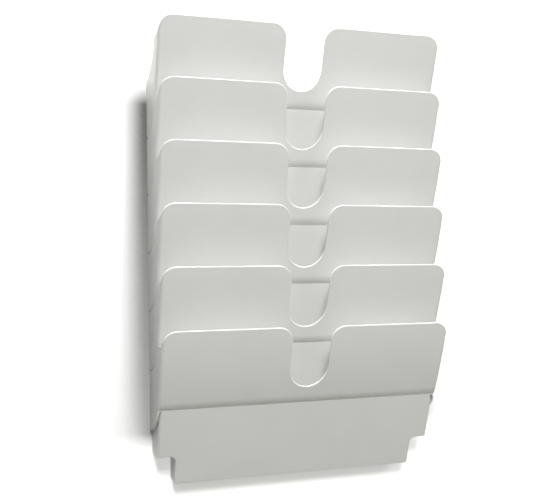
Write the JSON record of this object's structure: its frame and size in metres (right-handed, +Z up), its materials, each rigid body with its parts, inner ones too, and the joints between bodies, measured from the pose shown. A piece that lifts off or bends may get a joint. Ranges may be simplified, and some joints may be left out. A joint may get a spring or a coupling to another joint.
{
  "type": "wall document holder",
  "caption": "Wall-mounted document holder: moulded trays that plug into each other like shingles, each with a leaning two-tab front panel, a thumb notch and a pocket for landscape sheets.",
  "frame": {"origin": "on the wall plane, midway across the holder and midway down its height, on the back plate of tray_3", "axes": "+X to the viewer's right, +Y into the wall, +Z up"},
  "size_m": [0.33, 0.1255, 0.5052],
  "materials": {
    "tray": "satin white moulded polystyrene",
    "screw": "zinc plated"
  },
  "bodies": {
    "root": {"tray_1": "tray", "tray_2": "tray", "tray_3": "tray", "tray_4": "tray", "tray_5": "tray", "tray_6": "tray", "wall_screw_upper_left": "screw", "wall_screw_upper_right": "screw", "wall_screw_lower_left": "screw", "wall_screw_lower_right": "screw"}
  },
  "joints": []
}
